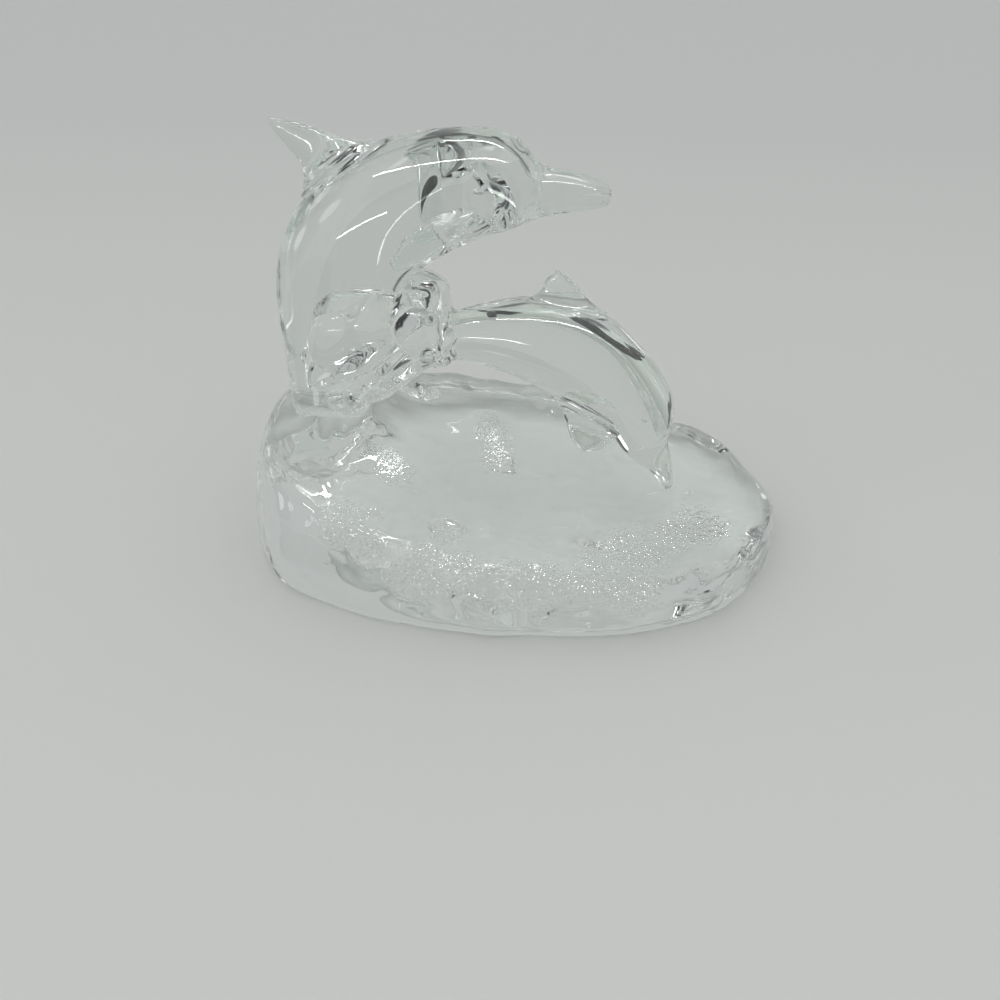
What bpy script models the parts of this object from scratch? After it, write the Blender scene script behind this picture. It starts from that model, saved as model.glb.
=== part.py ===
"""A clear glass ornament, cast in one piece: a dolphin and its calf leaping out of a
breaking wave, on an oval base shaped like a swell of the sea.

The adult rises from a mound of water at the left end of the base and bends over to the
right. The wave breaks round its belly, and the calf leaps out of the wave and dives until
the tip of its beak meets the base. Metres, +Z up, +X along the base towards the calf's
beak. The origin is the middle of the flat underside.
"""

import math

import bmesh
import bpy
import numpy as np
from mathutils import Vector

# Sea base: an oval slab, deep at the adult's end and shallow at the calf's.
BASE_LENGTH = 0.1590
BASE_WIDTH = 0.1070
BASE_DEPTH_ADULT_END = 0.0335
BASE_DEPTH_CALF_END = 0.0140
BACK_LIFT = 0.0022          # how much higher the far rim is than the middle
BASE_FULLNESS = 2.35        # 2 is a true ellipse, more is squarer
RIM_ROUND = 0.0100          # how far the rounded shoulder reaches in from the widest line
WAIST_HEIGHT = 0.0080       # height of the widest line above the table
FOOT_INSET = 0.0030         # how far the underside draws in below the widest line
SIDE_LUMPS = 0.0019         # how far the lumps stand out round the side

# Ripples of the water: their height, and the length of each train of waves.
SWELL = 0.0016
LONG_WAVE_LENGTH = 0.0500
CROSS_WAVE_LENGTH = 0.0360
SHORT_WAVE_LENGTH = 0.0300

# Mound of water that the adult rises from.
FOOT_X = -0.0530
MOUND_HEIGHT = 0.0175
MOUND_SPREAD_ALONG = 0.0120
MOUND_SPREAD_ACROSS = 0.0165

# Small crest of water that runs across the base under the calf.
CREST_HEIGHT = 0.0075
CREST_LENGTH = 0.0320
CREST_HALF_WIDTH = 0.0045
CREST_X = -0.0062           # its middle
CREST_Y = 0.0100
CREST_LEAN = -0.0080        # how far along its far end is from its near end

# Adult and calf.
ADULT_HEIGHT = 0.0893       # from the top of the base to the top of the head
ADULT_BREADTH = 0.0285      # widest, across the body
CALF_SPAN = 0.0630          # along the base, from the wave's rim to its beak's tip
CALF_BREADTH = 0.0224       # widest, across the body

# Breaking wave.
WAVE_HEIGHT = 0.0525        # from the top of the base to the crest between the figures
WAVE_BREADTH = 0.0400       # across the widest billow
WAVE_RIM = 0.705            # share of the wave's height along, where the calf comes out
BILLOW_FULLNESS = 3.6       # how square the billows are from front to back

ADULT_FIN_THICKNESS = 0.0050
CALF_FIN_THICKNESS = 0.0040
ADULT_FLIPPER_THICKNESS = 0.0050
CALF_FLIPPER_THICKNESS = 0.0036
FIN_ROOT_SINK = 0.0030      # how deep a dorsal fin's root runs into the body
FLIPPER_ROOT_SINK = 0.0050
EYE_STAND = 0.0005          # how far an eye stands out of the head
BEAK_BLUNT = 0.6            # reach of the beak's rounded end, as a share of its half depth
BEAK_SINK = 0.0010          # how deep the calf's beak is fused into the base

# Body stations from tail to beak: a point of the back (along, up), the point of the belly
# across from it, and the breadth there as a share of the widest. All are shares.
ADULT_STATIONS = (
    (-0.112, -0.116, 0.101, -0.116, 0.62),
    (-0.123, 0.040, 0.112, 0.040, 0.68),
    (-0.126, 0.197, 0.137, 0.197, 0.77),
    (-0.128, 0.354, 0.179, 0.343, 0.88),
    (-0.128, 0.511, 0.226, 0.455, 0.97),
    (-0.084, 0.690, 0.274, 0.546, 1.00),
    (0.017, 0.830, 0.325, 0.605, 1.00),
    (0.157, 0.934, 0.390, 0.645, 0.98),
    (0.319, 0.984, 0.464, 0.685, 0.93),
    (0.465, 1.000, 0.531, 0.711, 0.85),
    (0.560, 0.990, 0.580, 0.726, 0.74),
    (0.616, 0.957, 0.616, 0.741, 0.60),
    (0.652, 0.914, 0.652, 0.756, 0.46),
    (0.698, 0.897, 0.694, 0.767, 0.37),
    (0.757, 0.887, 0.755, 0.778, 0.31),
    (0.812, 0.871, 0.809, 0.786, 0.26),
    (0.843, 0.858, 0.840, 0.795, 0.20),
)
CALF_STATIONS = (
    (-0.127, 0.775, -0.095, 0.598, 0.46),
    (-0.005, 0.858, 0.008, 0.646, 0.56),
    (0.127, 0.906, 0.135, 0.623, 0.68),
    (0.262, 0.934, 0.246, 0.586, 0.82),
    (0.409, 0.940, 0.357, 0.537, 0.94),
    (0.562, 0.910, 0.460, 0.480, 1.00),
    (0.702, 0.824, 0.560, 0.421, 1.00),
    (0.830, 0.694, 0.648, 0.357, 0.96),
    (0.922, 0.571, 0.705, 0.294, 0.90),
    (0.970, 0.450, 0.746, 0.233, 0.80),
    (0.970, 0.360, 0.787, 0.189, 0.68),
    (0.956, 0.289, 0.825, 0.157, 0.54),
    (0.968, 0.227, 0.863, 0.132, 0.44),
    (0.986, 0.159, 0.898, 0.100, 0.36),
    (1.000, 0.090, 0.933, 0.056, 0.29),
    (1.005, 0.040, 0.959, 0.017, 0.22),
)

# Fins: leading edge then trailing edge, root to tip, as shares of the figure's own size.
# The first number is along, then out from the middle plane, then up.
ADULT_DORSAL = (
    ((0.159, 0.0, 0.935), (0.069, 0.0, 0.978), (-0.011, 0.0, 1.003), (-0.078, 0.0, 1.014)),
    ((0.011, 0.0, 0.824), (-0.012, 0.0, 0.891), (-0.052, 0.0, 0.945), (-0.086, 0.0, 0.994)),
)
CALF_DORSAL = (
    ((0.594, 0.0, 0.886), (0.548, 0.0, 0.960), (0.500, 0.0, 1.020), (0.446, 0.0, 1.058)),
    ((0.333, 0.0, 0.925), (0.362, 0.0, 0.984), (0.386, 0.0, 1.034), (0.416, 0.0, 1.058)),
)
ADULT_FLIPPER = (
    ((0.476, 0.115, 0.746), (0.414, 0.174, 0.730), (0.358, 0.202, 0.699), (0.290, 0.230, 0.680)),
    ((0.398, 0.135, 0.791), (0.364, 0.185, 0.802), (0.314, 0.213, 0.770), (0.275, 0.230, 0.715)),
)
CALF_FLIPPER = (
    ((0.722, 0.100, 0.392), (0.698, 0.140, 0.337), (0.648, 0.165, 0.306), (0.595, 0.175, 0.302)),
    ((0.489, 0.100, 0.495), (0.495, 0.140, 0.421), (0.521, 0.165, 0.354), (0.563, 0.175, 0.313)),
)

# Eyes: the share of the way from tail to beak, degrees round from the back, and length as
# a share of the figure's size.
ADULT_EYE = (0.787, 84.0, 0.034)
CALF_EYE = (0.700, 80.0, 0.038)

# Billows of the wave: a closed side outline (along, up), as shares of the wave's height
# from the adult's foot, then the breadth at its left end and at its right end, as shares
# of the wave's breadth.
WAVE_SHOULDER = (
    (
        (-0.066, 0.373), (-0.072, 0.620), (-0.050, 0.770), (0.000, 0.868), (0.090, 0.922),
        (0.225, 0.955), (0.335, 0.998), (0.392, 0.945), (0.419, 0.850), (0.448, 0.716),
        (0.362, 0.573), (0.210, 0.469), (0.057, 0.392),
    ),
    0.85,
    1.00,
)
WAVE_CREST = (
    (
        (0.381, 0.716), (0.376, 0.880), (0.450, 0.945), (0.545, 0.945), (0.622, 0.912),
        (0.670, 0.850), (0.690, 0.765), (0.706, 0.665), (0.712, 0.541), (0.590, 0.535),
        (0.476, 0.602),
    ),
    0.90,
    0.72,
)
WAVE_ROLL = (
    (
        (0.057, 0.259), (0.248, 0.301), (0.390, 0.370), (0.495, 0.459), (0.610, 0.554),
        (0.714, 0.630), (0.743, 0.691), (0.686, 0.743), (0.552, 0.735), (0.457, 0.688),
        (0.352, 0.592), (0.229, 0.507), (0.095, 0.459), (0.000, 0.373),
    ),
    1.02,
    0.75,
)

# Facets of the lofted forms.
BASE_SIDES = 60
BASE_TOP_RINGS = 14
BASE_SHOULDER_RINGS = 6
BASE_FOOT_RINGS = 3
BODY_SIDES = 20
BODY_RINGS = 32
BEAK_END_RINGS = 3
FIN_SIDES = 10
FIN_RINGS = 7
BILLOW_SIDES = 30
BILLOW_RINGS = 14
EYE_SIDES = 8

GLASS_COLOUR = (0.93, 0.96, 0.95, 1.0)
GLASS_ROUGHNESS = 0.02
GLASS_IOR = 1.52


def clear_scene():
    for obj in list(bpy.data.objects):
        bpy.data.objects.remove(obj)


def clear_glass():
    material = bpy.data.materials.new("clear cast glass")
    material.use_nodes = True
    shader = material.node_tree.nodes["Principled BSDF"]
    shader.inputs["Base Color"].default_value = GLASS_COLOUR
    shader.inputs["Roughness"].default_value = GLASS_ROUGHNESS
    shader.inputs["Metallic"].default_value = 0.0
    shader.inputs["Transmission Weight"].default_value = 1.0
    shader.inputs["IOR"].default_value = GLASS_IOR
    return material


def smooth_through(points, shares):
    """Rows at shares 0 to 1 of the way along the natural cubic spline through the points."""
    rows = np.array(points, float)
    steps = np.linalg.norm(np.diff(rows[:, :3], axis=0), axis=1)
    keys = np.concatenate([[0.0], np.cumsum(steps)])
    count = len(keys)
    matrix = np.eye(count)
    right = np.zeros_like(rows)
    for i in range(1, count - 1):
        before, after = keys[i] - keys[i - 1], keys[i + 1] - keys[i]
        matrix[i, i - 1 : i + 2] = before, 2 * (before + after), after
        right[i] = 6 * ((rows[i + 1] - rows[i]) / after - (rows[i] - rows[i - 1]) / before)
    bends = np.linalg.solve(matrix, right)
    where = np.clip(np.array(shares, float), 0, 1) * keys[-1]
    i = np.clip(np.searchsorted(keys, where, side="right") - 1, 0, count - 2)
    gap = (keys[i + 1] - keys[i])[:, None]
    a = (keys[i + 1] - where)[:, None] / gap
    b = 1 - a
    bend = (a**3 - a) * bends[i] + (b**3 - b) * bends[i + 1]
    return a * rows[i] + b * rows[i + 1] + bend * gap**2 / 6


def smooth_round(points, count):
    """Points spaced evenly round the smooth closed curve through the given ones."""
    lap = list(points)
    overlap = 3
    long = lap[-overlap:] + lap + lap[: overlap + 1]
    steps = np.linalg.norm(np.diff(np.array(long), axis=0), axis=1)
    lead, whole = steps[:overlap].sum(), steps.sum()
    round_once = steps[overlap : overlap + len(lap)].sum()
    shares = [(lead + round_once * k / count) / whole for k in range(count)]
    return smooth_through(long, shares)


def loft(name, rings):
    """A closed object through rings of points. A ring of one point closes an end."""
    bm = bmesh.new()
    rows = [[bm.verts.new(Vector(p)) for p in ring] for ring in rings]
    for low, high in zip(rows, rows[1:]):
        sides = max(len(low), len(high))
        for i in range(sides):
            j = (i + 1) % sides
            lower = [low[i % len(low)], low[j % len(low)]]
            upper = [high[j % len(high)], high[i % len(high)]]
            bm.faces.new(list(dict.fromkeys(lower + upper)))
    for ring in (rows[0], rows[-1]):
        if len(ring) > 2:
            bm.faces.new(ring)
    bmesh.ops.recalc_face_normals(bm, faces=bm.faces)
    mesh = bpy.data.meshes.new(name)
    bm.to_mesh(mesh)
    bm.free()
    obj = bpy.data.objects.new(name, mesh)
    bpy.context.scene.collection.objects.link(obj)
    return obj


def ripple(x, y, z):
    """Rippled water at a place, from -1 to 1: a few crossing trains of waves."""
    turn = 2 * math.pi
    sway = 1.3 * math.sin(turn * y / (1.4 * LONG_WAVE_LENGTH))
    long_waves = math.sin(turn * (x + z) / LONG_WAVE_LENGTH + sway)
    cross_waves = math.sin(turn * (y - 0.4 * x) / CROSS_WAVE_LENGTH + 0.7)
    short_waves = math.sin(turn * (x + y + z) / SHORT_WAVE_LENGTH) * math.sin(
        turn * (x - y) / SHORT_WAVE_LENGTH
    )
    return 0.42 * long_waves + 0.30 * cross_waves + 0.28 * short_waves


def side_lumps(turn):
    """Soft upright lumps round the side of the base, from -1 to 1."""
    return 0.5 * math.sin(7 * turn + 0.8) + 0.3 * math.sin(12 * turn + 2.1) + 0.2 * math.sin(19 * turn)


def sea_level(x):
    """Height of the base's top along its middle, without ripples, mound or crest."""
    share = x / BASE_LENGTH + 0.5
    return BASE_DEPTH_ADULT_END + (BASE_DEPTH_CALF_END - BASE_DEPTH_ADULT_END) * share


def mound(x, y):
    reach = ((x - FOOT_X) / MOUND_SPREAD_ALONG) ** 2 + (y / MOUND_SPREAD_ACROSS) ** 2
    return MOUND_HEIGHT * math.exp(-reach / 2)


def small_crest(x, y):
    """A crest that is highest in the middle of its run and fades out at both ends."""
    share = (y - CREST_Y) / CREST_LENGTH
    if abs(share) > 0.5:
        return 0.0
    aside = (x - CREST_X - CREST_LEAN * share) / CREST_HALF_WIDTH
    return CREST_HEIGHT * math.cos(math.pi * share) * math.exp(-(aside**2))


def base_top(x, y):
    lift = BACK_LIFT * y / (BASE_WIDTH / 2)
    return sea_level(x) + lift + mound(x, y) + small_crest(x, y) + SWELL * ripple(x, y, 0)


def base_reach(turn):
    """Distance from the middle of the base to its widest line, in the direction of turn."""
    along = abs(math.cos(turn)) / (BASE_LENGTH / 2)
    across = abs(math.sin(turn)) / (BASE_WIDTH / 2)
    return (along**BASE_FULLNESS + across**BASE_FULLNESS) ** (-1 / BASE_FULLNESS)


def base_point(turn, inset, z):
    reach = base_reach(turn) - inset
    return Vector((reach * math.cos(turn), reach * math.sin(turn), z))


def sea_base():
    """The swell: a rippled top, a rounded shoulder, and a side that draws in to a flat foot."""
    turns = [2 * math.pi * i / BASE_SIDES for i in range(BASE_SIDES)]
    rings = [[Vector((0, 0, base_top(0, 0)))]]
    for k in range(1, BASE_TOP_RINGS):
        ring = []
        for t in turns:
            reach = (base_reach(t) - RIM_ROUND) * k / BASE_TOP_RINGS
            x, y = reach * math.cos(t), reach * math.sin(t)
            ring.append(Vector((x, y, base_top(x, y))))
        rings.append(ring)
    for k in range(BASE_SHOULDER_RINGS + 1):
        bend = math.pi / 2 * k / BASE_SHOULDER_RINGS
        ring = []
        for t in turns:
            rim = base_point(t, RIM_ROUND, 0)
            z = WAIST_HEIGHT + (base_top(rim.x, rim.y) - WAIST_HEIGHT) * math.cos(bend)
            bulge = SIDE_LUMPS * side_lumps(t) * math.sin(bend)
            ring.append(base_point(t, RIM_ROUND * (1 - math.sin(bend)) - bulge, z))
        rings.append(ring)
    for k in range(1, BASE_FOOT_RINGS + 1):
        bend = math.pi / 2 * k / BASE_FOOT_RINGS
        z = WAIST_HEIGHT * (1 - math.sin(bend))
        ring = []
        for t in turns:
            bulge = SIDE_LUMPS * side_lumps(t) * math.cos(bend)
            ring.append(base_point(t, FOOT_INSET * (1 - math.cos(bend)) - bulge, z))
        rings.append(ring)
    return loft("sea_base", fitted(rings))


def fitted(rings):
    """The rings stretched and shifted so that they measure the base's length and width."""
    for axis, size in ((0, BASE_LENGTH), (1, BASE_WIDTH)):
        low = min(p[axis] for ring in rings for p in ring)
        high = max(p[axis] for ring in rings for p in ring)
        for ring in rings:
            for p in ring:
                p[axis] = ((p[axis] - low) / (high - low) - 0.5) * size
    return rings


class Figure:
    """A dolphin: where its shares are measured from, its size, stations and breadth."""

    def __init__(self, name, stations, origin, size, breadth):
        self.name = name
        self.stations = stations
        self.origin = Vector(origin)
        self.size = size
        self.breadth = breadth

    def place(self, along, out, up):
        """The point at these shares of the figure's size."""
        return self.origin + Vector((along, out, up)) * self.size

    def sections(self, shares):
        """Centre, half depth from centre to back, and half breadth, at shares of the way."""
        middles = [
            ((bx + vx) / 2, (bz + vz) / 2, (bx - vx) / 2, (bz - vz) / 2, half / 2)
            for bx, bz, vx, vz, half in self.stations
        ]
        for x, z, deep_x, deep_z, half in smooth_through(middles, shares):
            deep = Vector((deep_x, 0, deep_z)) * self.size
            yield self.place(x, 0, z), deep, half * self.breadth

    def heading(self, share):
        """Direction towards the beak at a share of the way along."""
        step = 0.004
        ahead, behind = self.sections([min(share + step, 1), max(share - step, 0)])
        return (ahead[0] - behind[0]).normalized()


def body_ring(centre, deep, half):
    turns = [2 * math.pi * (i + 0.5) / BODY_SIDES for i in range(BODY_SIDES)]
    return [centre + deep * math.cos(t) + Vector((0, half * math.sin(t), 0)) for t in turns]


def body(figure):
    """The body as one loft from the tail to the rounded end of the beak."""
    shares = [k / (BODY_RINGS - 1) for k in range(BODY_RINGS)]
    sections = list(figure.sections(shares))
    rings = [body_ring(*section) for section in sections]
    centre, deep, half = sections[-1]
    ahead = figure.heading(1) * deep.length * BEAK_BLUNT
    for k in range(1, BEAK_END_RINGS):
        bend = math.pi / 2 * k / BEAK_END_RINGS
        shrink = math.cos(bend)
        rings.append(body_ring(centre + ahead * math.sin(bend), deep * shrink, half * shrink))
    rings.append([centre + ahead])
    return loft(figure.name + "_body", rings)


def fin(name, figure, edges, thickness, sink, side=1):
    """A fin lofted from lens-shaped sections between its leading and trailing edges."""
    leading, trailing = ([figure.place(x, -side * out, z) for x, out, z in edge] for edge in edges)
    shares = [k / FIN_RINGS for k in range(FIN_RINGS + 1)]
    front = [Vector(p) for p in smooth_through(leading, shares)]
    rear = [Vector(p) for p in smooth_through(trailing, shares)]
    span = (front[-1] + rear[-1] - front[0] - rear[0]).normalized()
    broad = (rear[0] - front[0]).cross(span).normalized()
    rings = []
    for share, lead, trail in zip(shares, front, rear):
        thick = thickness / 2 * (1 - 0.6 * share)
        middle, half = (lead + trail) / 2, (trail - lead) / 2
        if not rings:
            middle = middle - span * sink
        turns = [2 * math.pi * i / FIN_SIDES for i in range(FIN_SIDES)]
        rings.append([middle + half * math.cos(t) + broad * thick * math.sin(t) for t in turns])
    rings.append([(front[-1] + rear[-1]) / 2 + span * thickness * 0.2])
    return loft(name, rings)


def eye(name, figure, share, degrees, length_share):
    """A low dome, longer along the head than across it."""
    length = length_share * figure.size
    centre, deep, half = next(figure.sections([share]))
    turn = math.radians(degrees)
    across = Vector((0, -1, 0))
    spot = centre + deep * math.cos(turn) + across * half * math.sin(turn)
    out = (deep / deep.length_squared * math.cos(turn) + across / half * math.sin(turn)).normalized()
    up = figure.heading(share).cross(out).normalized()
    along = out.cross(up).normalized() * length / 2
    up = up * length / 3
    rings = []
    for stand, spread in ((-length / 2, 0.8), (0.0, 1.0), (EYE_STAND * 0.7, 0.7)):
        turns = [2 * math.pi * i / EYE_SIDES for i in range(EYE_SIDES)]
        ring = [spot + out * stand + (along * math.cos(t) + up * math.sin(t)) * spread for t in turns]
        rings.append(ring)
    rings.append([spot + out * EYE_STAND])
    return loft(name, rings)


def billow(name, outline, left_share, right_share):
    """A billow of the wave: its side outline, rounded off towards the front and the back."""
    sides = smooth_round(outline, BILLOW_SIDES) * WAVE_HEIGHT
    middle = sides.mean(axis=0)
    low, high = sides[:, 0].min(), sides[:, 0].max()
    rings = []
    for k in range(BILLOW_RINGS + 1):
        tilt = math.pi * k / BILLOW_RINGS
        shrink = math.sin(tilt) ** (2 / BILLOW_FULLNESS)
        out = -math.copysign(abs(math.cos(tilt)) ** (2 / BILLOW_FULLNESS), math.cos(tilt))
        ring = []
        for side in sides if 0 < k < BILLOW_RINGS else [middle]:
            x, z = middle + (side - middle) * shrink
            share = left_share + (right_share - left_share) * (x - low) / (high - low)
            y = out * (share * WAVE_BREADTH + SWELL * ripple(x, 0, z)) / 2
            ring.append(Vector((FOOT_X + x, y, sea_level(FOOT_X) + z)))
        rings.append(ring)
    return loft(name, rings)


def fuse(target, others):
    """One solid: each other form is joined to the target by a Boolean and kept as a helper."""
    for other in others:
        union = target.modifiers.new(other.name, "BOOLEAN")
        union.operation = "UNION"
        union.object = other
        other.hide_render = True
        other.display_type = "WIRE"


def adult_figure():
    origin = (FOOT_X, 0, sea_level(FOOT_X))
    return Figure("adult", ADULT_STATIONS, origin, ADULT_HEIGHT, ADULT_BREADTH)


def calf_figure():
    """The calf comes out at the wave's rim, and its beak's tip lands on the base."""
    rim_x = FOOT_X + WAVE_RIM * WAVE_HEIGHT
    tip_z = base_top(rim_x + CALF_SPAN, 0) - BEAK_SINK
    return Figure("calf", CALF_STATIONS, (rim_x, 0, tip_z), CALF_SPAN, CALF_BREADTH)


def main():
    clear_scene()
    base = sea_base()
    adult, calf = adult_figure(), calf_figure()
    forms = [
        body(adult),
        body(calf),
        fin("adult_dorsal", adult, ADULT_DORSAL, ADULT_FIN_THICKNESS, FIN_ROOT_SINK),
        fin("calf_dorsal", calf, CALF_DORSAL, CALF_FIN_THICKNESS, FIN_ROOT_SINK),
        billow("wave_shoulder", *WAVE_SHOULDER),
        billow("wave_crest", *WAVE_CREST),
        billow("wave_roll", *WAVE_ROLL),
    ]
    flippers = (
        (adult, ADULT_FLIPPER, ADULT_FLIPPER_THICKNESS),
        (calf, CALF_FLIPPER, CALF_FLIPPER_THICKNESS),
    )
    eyes = ((adult, ADULT_EYE), (calf, CALF_EYE))
    for label, side in (("near", 1), ("far", -1)):
        for figure, edges, thickness in flippers:
            name = f"{figure.name}_flipper_{label}"
            forms.append(fin(name, figure, edges, thickness, FLIPPER_ROOT_SINK, side))
        for figure, (share, degrees, length) in eyes:
            forms.append(eye(f"{figure.name}_eye_{label}", figure, share, side * degrees, length))
    fuse(base, forms)
    base.name = "dolphins_on_wave"
    base.data.materials.append(clear_glass())
    base.data.shade_smooth()


main()
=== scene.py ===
# %% [markdown]
# # A dolphin and its calf in clear cast glass
#
# This lesson dresses a measured model of a glass ornament: an adult dolphin and a calf
# leap out of a breaking wave, on an oval base that is shaped like a swell of the sea.
# The real thing is one casting. Molten glass goes into a mould, and the figures are then
# polished with a flame, while the water keeps the mould's fine ripples and stipple.
#
# The measured model comes first. It fixes every size and place, in metres, with the
# origin in the middle of the flat underside.

# %% Load the measured model
import math

import bmesh
import bpy
import numpy as np
from mathutils import Matrix, Vector


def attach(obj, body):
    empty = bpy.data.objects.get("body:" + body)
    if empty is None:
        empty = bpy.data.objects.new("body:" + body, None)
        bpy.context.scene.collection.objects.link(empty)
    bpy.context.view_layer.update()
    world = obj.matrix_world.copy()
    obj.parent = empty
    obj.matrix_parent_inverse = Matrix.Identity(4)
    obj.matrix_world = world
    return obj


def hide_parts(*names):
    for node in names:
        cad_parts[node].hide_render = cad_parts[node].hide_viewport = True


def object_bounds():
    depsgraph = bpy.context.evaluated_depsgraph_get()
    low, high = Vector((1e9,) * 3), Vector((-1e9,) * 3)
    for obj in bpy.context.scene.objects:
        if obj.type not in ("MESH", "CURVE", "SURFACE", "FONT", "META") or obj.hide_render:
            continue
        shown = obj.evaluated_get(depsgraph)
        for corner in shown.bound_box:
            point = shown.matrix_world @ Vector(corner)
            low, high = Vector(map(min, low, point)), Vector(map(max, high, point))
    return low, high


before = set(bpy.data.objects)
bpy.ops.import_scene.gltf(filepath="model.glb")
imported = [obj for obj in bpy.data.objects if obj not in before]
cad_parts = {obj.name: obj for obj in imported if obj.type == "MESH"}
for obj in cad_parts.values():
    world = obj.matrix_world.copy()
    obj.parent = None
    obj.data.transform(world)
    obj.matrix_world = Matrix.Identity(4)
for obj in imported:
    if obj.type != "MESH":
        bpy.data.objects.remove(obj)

MM = 0.001
cad_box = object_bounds()
length, width, height = (cad_box[1][k] - cad_box[0][k] for k in range(3))
print(f"measured model: {length / MM:.1f} x {width / MM:.1f} x {height / MM:.1f} mm")

# %% [markdown]
# ## Two small tools
#
# A cast figure has no flat faces and no hard corners, so every form here is a smooth
# surface through a few sections. A spline gives the sections between the few that are
# listed, and a loft joins them ring by ring. Subdividing a coarse mesh would also
# give a smooth skin, but it would shrink away from the measured model. The spline passes
# through the same points as the model does.

# %% Splines and lofts


def smooth_through(points, shares):
    """Rows at shares 0 to 1 of the way along the natural cubic spline through the points."""
    rows = np.array(points, float)
    steps = np.linalg.norm(np.diff(rows[:, :3], axis=0), axis=1)
    keys = np.concatenate([[0.0], np.cumsum(steps)])
    count = len(keys)
    matrix = np.eye(count)
    right = np.zeros_like(rows)
    for i in range(1, count - 1):
        before, after = keys[i] - keys[i - 1], keys[i + 1] - keys[i]
        matrix[i, i - 1 : i + 2] = before, 2 * (before + after), after
        right[i] = 6 * ((rows[i + 1] - rows[i]) / after - (rows[i] - rows[i - 1]) / before)
    bends = np.linalg.solve(matrix, right)
    where = np.clip(np.array(shares, float), 0, 1) * keys[-1]
    i = np.clip(np.searchsorted(keys, where, side="right") - 1, 0, count - 2)
    gap = (keys[i + 1] - keys[i])[:, None]
    a = (keys[i + 1] - where)[:, None] / gap
    b = 1 - a
    bend = (a**3 - a) * bends[i] + (b**3 - b) * bends[i + 1]
    return a * rows[i] + b * rows[i + 1] + bend * gap**2 / 6


def smooth_round(points, count):
    """Points spaced evenly round the smooth closed curve through the given ones."""
    lap = list(points)
    overlap = 3
    long = lap[-overlap:] + lap + lap[: overlap + 1]
    steps = np.linalg.norm(np.diff(np.array(long), axis=0), axis=1)
    lead, whole = steps[:overlap].sum(), steps.sum()
    round_once = steps[overlap : overlap + len(lap)].sum()
    shares = [(lead + round_once * k / count) / whole for k in range(count)]
    return smooth_through(long, shares)


def loft(name, rings):
    """A closed mesh through rings of points. A ring of one point closes an end."""
    bm = bmesh.new()
    rows = [[bm.verts.new(Vector(p)) for p in ring] for ring in rings]
    for low, high in zip(rows, rows[1:]):
        sides = max(len(low), len(high))
        for i in range(sides):
            j = (i + 1) % sides
            lower = [low[i % len(low)], low[j % len(low)]]
            upper = [high[j % len(high)], high[i % len(high)]]
            bm.faces.new(list(dict.fromkeys(lower + upper)))
    for ring in (rows[0], rows[-1]):
        if len(ring) > 2:
            bm.faces.new(ring)
    bmesh.ops.recalc_face_normals(bm, faces=bm.faces)
    mesh = bpy.data.meshes.new(name)
    bm.to_mesh(mesh)
    bm.free()
    obj = bpy.data.objects.new(name, mesh)
    bpy.context.scene.collection.objects.link(obj)
    return obj


def apply_modifiers(obj):
    """Replace an object's mesh by what its modifiers make of it, and remove them."""
    view = bpy.context.evaluated_depsgraph_get()
    view.update()
    made = bpy.data.meshes.new_from_object(obj.evaluated_get(view))
    obj.modifiers.clear()
    obj.data = made
    return obj


# %% [markdown]
# ## The sea base
#
# The base is an oval slab, deep under the adult and shallow under the calf. Its shoulder
# is rounded, its side bulges in soft upright lumps, and its underside is ground flat so
# that the ornament stands. The adult's foot rises from a mound of water, and a small crest
# runs across the base under the calf.
#
# A polar grid suits it: rings of points that shrink to the middle, lifted by a height
# formula. The formula here is the measured model's own, so the two agree.

# %% The base's sizes and its height formula
BASE_LENGTH = length
BASE_WIDTH = width
BASE_DEPTH_ADULT_END = 33.5 * MM
BASE_DEPTH_CALF_END = 14.0 * MM
BACK_LIFT = 2.2 * MM
BASE_FULLNESS = 2.35
RIM_ROUND = 10.0 * MM
WAIST_HEIGHT = 8.0 * MM
FOOT_INSET = 3.0 * MM
SIDE_LUMPS = 1.9 * MM
SWELL = 1.6 * MM
LONG_WAVE_LENGTH = 50 * MM
CROSS_WAVE_LENGTH = 36 * MM
SHORT_WAVE_LENGTH = 30 * MM
FOOT_X = -53.0 * MM
MOUND_HEIGHT = 17.5 * MM
MOUND_SPREAD_ALONG = 12.0 * MM
MOUND_SPREAD_ACROSS = 16.5 * MM
CREST_HEIGHT = 7.5 * MM
CREST_LENGTH = 32 * MM
CREST_HALF_WIDTH = 4.5 * MM
CREST_X = -6.2 * MM
CREST_Y = 10.0 * MM
CREST_LEAN = -8.0 * MM
BASE_SIDES = 320
BASE_TOP_RINGS = 66
BASE_SHOULDER_RINGS = 30
BASE_FOOT_RINGS = 10


def ripple(x, y, z):
    """Rippled water at a place, from -1 to 1: a few crossing trains of waves."""
    turn = 2 * math.pi
    sway = 1.3 * math.sin(turn * y / (1.4 * LONG_WAVE_LENGTH))
    long_waves = math.sin(turn * (x + z) / LONG_WAVE_LENGTH + sway)
    cross_waves = math.sin(turn * (y - 0.4 * x) / CROSS_WAVE_LENGTH + 0.7)
    short_waves = math.sin(turn * (x + y + z) / SHORT_WAVE_LENGTH) * math.sin(
        turn * (x - y) / SHORT_WAVE_LENGTH
    )
    return 0.42 * long_waves + 0.30 * cross_waves + 0.28 * short_waves


def side_lumps(turn):
    """Soft upright lumps round the side of the base, from -1 to 1."""
    return 0.5 * math.sin(7 * turn + 0.8) + 0.3 * math.sin(12 * turn + 2.1) + 0.2 * math.sin(19 * turn)


def sea_level(x):
    """Height of the base's top along its middle, without ripples, mound or crest."""
    share = x / BASE_LENGTH + 0.5
    return BASE_DEPTH_ADULT_END + (BASE_DEPTH_CALF_END - BASE_DEPTH_ADULT_END) * share


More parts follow.
